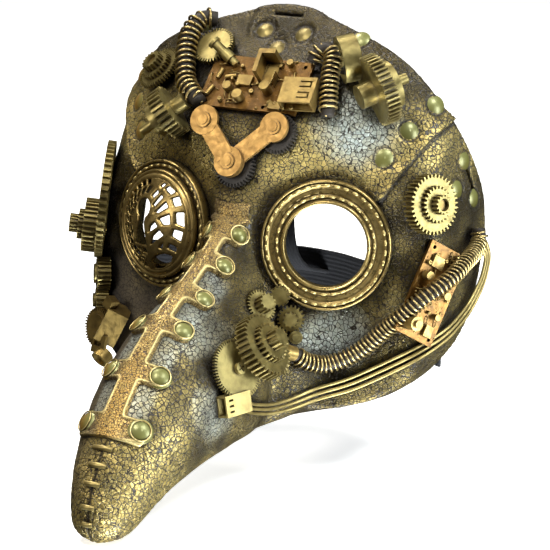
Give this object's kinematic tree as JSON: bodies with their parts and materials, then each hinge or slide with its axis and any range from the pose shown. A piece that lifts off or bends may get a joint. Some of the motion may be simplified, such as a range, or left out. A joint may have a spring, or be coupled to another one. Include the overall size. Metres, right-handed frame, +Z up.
{
  "type": "steampunk plague doctor mask",
  "caption": "Long-beaked masquerade mask with ringed eyes, a riveted nose band, gears that turn on posts, coil springs, circuit boards and elastic straps.",
  "frame": {"origin": "midway between the centres of the two eye holes", "axes": "-Y is the way the mask looks, +Z is up, +X is the wearer's left"},
  "size_m": [0.1954, 0.1955, 0.1951],
  "materials": {
    "moulded_leather": "crackled moulded leather, gold rubbed over dark brown",
    "band_leather": "crackled leather band, gold brown",
    "olive_rivet": "satin olive-gold",
    "staple_wire": "dull wire",
    "aged_brass": "aged, dark in the recesses",
    "pale_brass": "dull pale brass",
    "spring_steel": "drawn wire, satin",
    "golden_plate": "satin gold",
    "dark_iron": "blackened",
    "gilt_board": "gold paint, satin",
    "gilt_parts": "gold paint, satin",
    "gilt_wire": "gold paint over wire",
    "black_elastic": "woven elastic"
  },
  "bodies": {
    "mask": {"board_components": "gilt_parts", "bridge_rivets": "olive_rivet", "bridge_strap": "band_leather", "brow_rivets": "aged_brass", "chain_gears": "dark_iron", "chain_link_left": "golden_plate", "chain_link_right": "golden_plate", "chain_pins": "golden_plate", "cheek_bracket_right": "aged_brass", "cheek_connector": "golden_plate", "cheek_pipe": "gilt_parts", "cheek_spring": "spring_steel", "cheek_stack_gear": "pale_brass", "cheek_wire_lower": "gilt_wire", "cheek_wire_middle": "gilt_wire", "cheek_wire_upper": "gilt_wire", "circuit_board": "gilt_board", "crown_rivets": "aged_brass", "elastic_band": "black_elastic", "eye_ring_left": "aged_brass", "eye_ring_right": "aged_brass", "filigree_dome": "aged_brass", "flat_socket": "golden_plate", "forehead_disc_gear": "pale_brass", "forehead_spring_left": "spring_steel", "forehead_spring_right": "spring_steel", "mask_shell": "moulded_leather", "shaft_gear_left": "pale_brass", "shaft_gear_right": "pale_brass", "side_board_components": "gilt_parts", "side_circuit_board": "gilt_board", "small_cheek_gears": "pale_brass", "smooth_drum": "pale_brass", "spur_screw": "aged_brass", "stepped_bolt": "gilt_parts", "stepped_gear_post": "pale_brass", "temple_post_left": "pale_brass", "temple_post_right": "pale_brass", "temple_rivets": "aged_brass", "temple_small_gears_right": "pale_brass", "temple_wheel_right": "aged_brass", "tip_stitches": "staple_wire", "top_strap": "black_elastic", "upright_socket": "golden_plate"},
    "temple_gear_left_body": {"temple_gear_left": "pale_brass"},
    "temple_gear_right_body": {"temple_gear_right": "pale_brass"},
    "cheek_spur_gear_body": {"cheek_spur_gear": "pale_brass"},
    "stepped_gear_right_body": {"stepped_gear_right": "pale_brass"}
  },
  "joints": [
    {"name": "temple_gear_left_spin", "type": "hinge", "parent": "mask", "child": "temple_gear_left_body", "pos_m": [0.0796, 0.0188, 0.0186], "axis": [0.9005, -0.4002, 0.1701], "continuous": true},
    {"name": "temple_gear_right_spin", "type": "hinge", "parent": "mask", "child": "temple_gear_right_body", "pos_m": [-0.08472, 0.01641, -0.01], "axis": [-0.8755, -0.4653, 0.1301], "continuous": true},
    {"name": "cheek_spur_gear_spin", "type": "hinge", "parent": "mask", "child": "cheek_spur_gear_body", "pos_m": [0.0293, -0.0592, -0.0409], "axis": [0.8991, -0.2497, 0.3596], "continuous": true},
    {"name": "stepped_gear_right_spin", "type": "hinge", "parent": "mask", "child": "stepped_gear_right_body", "pos_m": [-0.0532, 0.0226, 0.0644], "axis": [-0.3811, -0.6017, 0.702], "continuous": true}
  ]
}
